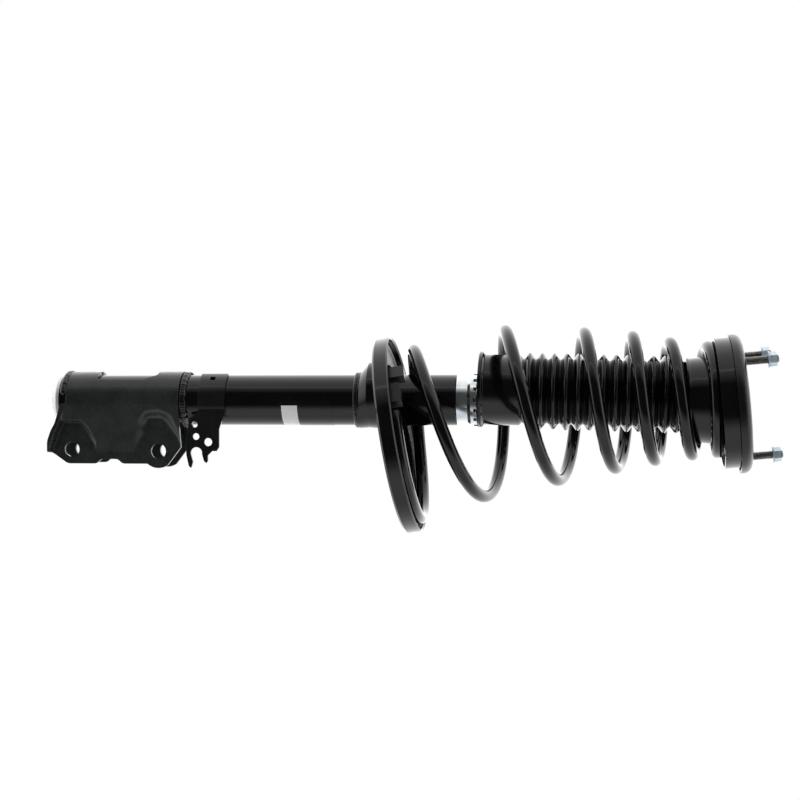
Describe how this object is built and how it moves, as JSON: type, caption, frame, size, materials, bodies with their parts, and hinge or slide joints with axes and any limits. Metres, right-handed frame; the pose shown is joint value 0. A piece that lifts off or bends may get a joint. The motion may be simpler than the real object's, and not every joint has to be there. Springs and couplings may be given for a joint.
{
  "type": "strut assembly",
  "caption": "MacPherson strut with a knuckle clevis, brake hose bracket, offset lower spring seat, conical coil spring, bellows dust boot and studded top mount.",
  "frame": {"origin": "centre of the lower knuckle bolt hole, midway between the ears", "axes": "+Y along the knuckle bolts, +Z parallel to the strut axis towards the top mount, +X the way the ears point"},
  "size_m": [0.2085, 0.1974, 0.7339],
  "materials": {
    "gloss_black_paint": "gloss",
    "satin_black_paint": "satin",
    "mount_coating": "satin",
    "spring_coating": "gloss",
    "label_film": "gloss",
    "rubber": "matte",
    "boot_rubber": "satin",
    "bumper_foam": "matte",
    "zinc_plate": "satin",
    "stud_steel": "satin",
    "bright_steel": "satin",
    "hard_chrome": "polished",
    "sintered_iron": "matte",
    "bearing_bronze": "satin",
    "seal_plastic": "matte"
  },
  "bodies": {
    "strut_body": {"outer_tube": "gloss_black_paint", "base_cap": "bright_steel", "knuckle_bracket": "satin_black_paint", "bracket_weld": "satin_black_paint", "brake_hose_bracket": "satin_black_paint", "tube_label": "label_film", "lower_spring_seat": "satin_black_paint", "seat_weld": "satin_black_paint", "lower_spring_insulator": "rubber", "coil_spring": "spring_coating", "bump_cap": "zinc_plate", "inner_cylinder": "bright_steel", "base_valve_body": "sintered_iron", "base_valve_pin": "bright_steel", "rod_guide": "sintered_iron", "rod_guide_bush": "bearing_bronze", "oil_seal": "rubber"},
    "rod": {"piston_rod": "hard_chrome", "piston": "sintered_iron", "piston_ring": "seal_plastic", "piston_shims": "bright_steel", "piston_nut": "bright_steel", "rebound_stop": "bright_steel", "rebound_cushion": "seal_plastic", "jounce_bumper": "bumper_foam", "rod_washer": "zinc_plate", "dust_boot": "boot_rubber", "upper_spring_seat": "gloss_black_paint", "upper_spring_insulator": "rubber", "mount_plate": "mount_coating", "mount_sleeve": "bright_steel", "mount_rubber": "rubber", "rod_nut": "zinc_plate", "mount_studs": "stud_steel"},
    "base_plate": {"base_check_plate": "bright_steel"},
    "piston_plate": {"piston_check_plate": "bright_steel"},
    "nuts": {"stud_nuts": "zinc_plate"}
  },
  "joints": [
    {"name": "rod_slide", "type": "slide", "parent": "strut_body", "child": "rod", "axis": [0, 0, -1], "range_m": [0, 0.17], "stiffness_N_per_m": 27000, "springref_m": -0.03, "deforming": ["coil_spring", "dust_boot"]},
    {"name": "base_check_lift", "type": "slide", "parent": "strut_body", "child": "base_plate", "axis": [0, 0, 1], "range_m": [0, 0.001]},
    {"name": "piston_check_lift", "type": "slide", "parent": "rod", "child": "piston_plate", "axis": [0, 0, 1], "range_m": [0, 0.001]},
    {"name": "nuts_off", "type": "slide", "parent": "rod", "child": "nuts", "axis": [-0.0871, -0.0278, 0.9958], "range_m": [0, 0.04], "stiffness_N_per_m": 200, "springref_m": -0.01}
  ]
}
